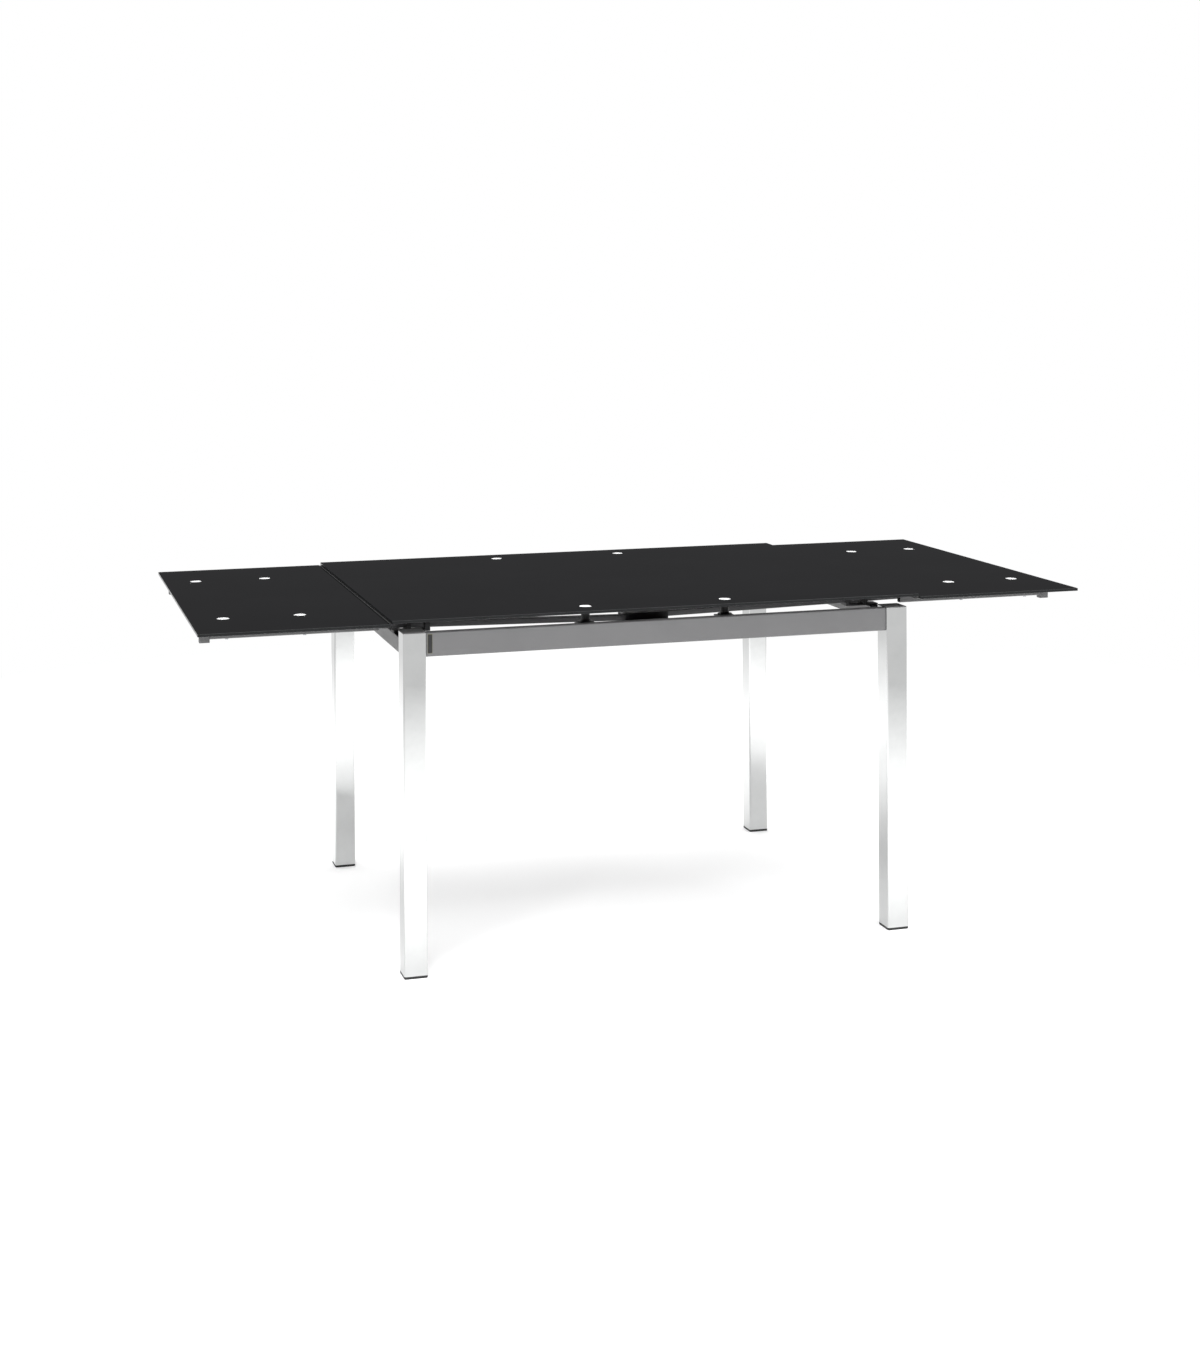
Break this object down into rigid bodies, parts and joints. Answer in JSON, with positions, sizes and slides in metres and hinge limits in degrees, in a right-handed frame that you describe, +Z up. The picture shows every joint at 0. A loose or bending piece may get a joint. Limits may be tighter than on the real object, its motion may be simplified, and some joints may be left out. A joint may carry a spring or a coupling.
{
  "type": "extendable dining table",
  "caption": "Extendable dining table with a black glass top, a glass leaf drawn out at each end, square chrome legs and a grey painted frame.",
  "frame": {"origin": "centre of the bounding box's underside: on the floor under the middle of the table", "axes": "+X along the length of the table, +Y across its width, towards the rear edge, +Z up"},
  "size_m": [2, 0.9, 0.75],
  "materials": {
    "black_glass": "gloss black, back-painted, opaque",
    "disc_metal": "bright satin steel",
    "leg_chrome": "mirror chrome",
    "grey_paint": "satin mid-grey paint",
    "runner_steel": "satin dark grey paint",
    "black_plastic": "matt black"
  },
  "bodies": {
    "frame": {"left_apron": "grey_paint", "front_left_sleeve_bracket": "runner_steel", "front_left_leg": "leg_chrome", "front_left_foot": "black_plastic", "front_left_leg_cap": "grey_paint", "front_left_end_guide": "black_plastic", "rear_left_sleeve_bracket": "runner_steel", "rear_left_leg": "leg_chrome", "rear_left_foot": "black_plastic", "rear_left_leg_cap": "grey_paint", "rear_left_end_guide": "black_plastic", "right_apron": "grey_paint", "front_right_sleeve_bracket": "runner_steel", "front_right_leg": "leg_chrome", "front_right_foot": "black_plastic", "front_right_leg_cap": "grey_paint", "front_right_end_guide": "black_plastic", "rear_right_sleeve_bracket": "runner_steel", "rear_right_leg": "leg_chrome", "rear_right_foot": "black_plastic", "rear_right_leg_cap": "grey_paint", "rear_right_end_guide": "black_plastic", "front_apron": "grey_paint", "front_centre_guide": "black_plastic", "rear_apron": "grey_paint", "rear_centre_guide": "black_plastic"},
    "centre_top": {"centre_glass": "black_glass", "front_left_centre_pin": "disc_metal", "rear_left_centre_pin": "disc_metal", "front_right_centre_pin": "disc_metal", "rear_right_centre_pin": "disc_metal"},
    "left_leaf": {"left_leaf_glass": "black_glass", "left_outer_crossbar": "grey_paint", "left_inner_crossbar": "grey_paint", "front_left_outer_disc": "disc_metal", "front_left_inner_disc": "disc_metal", "front_left_rail": "grey_paint", "front_left_end_block": "grey_paint", "front_left_runner": "runner_steel", "rear_left_outer_disc": "disc_metal", "rear_left_inner_disc": "disc_metal", "rear_left_rail": "grey_paint", "rear_left_end_block": "grey_paint", "rear_left_runner": "runner_steel"},
    "right_leaf": {"right_leaf_glass": "black_glass", "right_outer_crossbar": "grey_paint", "right_inner_crossbar": "grey_paint", "front_right_outer_disc": "disc_metal", "front_right_inner_disc": "disc_metal", "front_right_rail": "grey_paint", "front_right_end_block": "grey_paint", "front_right_runner": "runner_steel", "rear_right_outer_disc": "disc_metal", "rear_right_inner_disc": "disc_metal", "rear_right_rail": "grey_paint", "rear_right_end_block": "grey_paint", "rear_right_runner": "runner_steel"}
  },
  "joints": [
    {"name": "left_leaf_slide", "type": "slide", "parent": "frame", "child": "left_leaf", "axis": [0.9998, 0, -0.02], "range_m": [0, 0.39208]},
    {"name": "right_leaf_slide", "type": "slide", "parent": "frame", "child": "right_leaf", "axis": [-0.9998, 0, -0.02], "range_m": [0, 0.39208]},
    {"name": "centre_top_lift", "type": "slide", "parent": "frame", "child": "centre_top", "axis": [0, 0, 1], "range_m": [0, 0.012]}
  ]
}
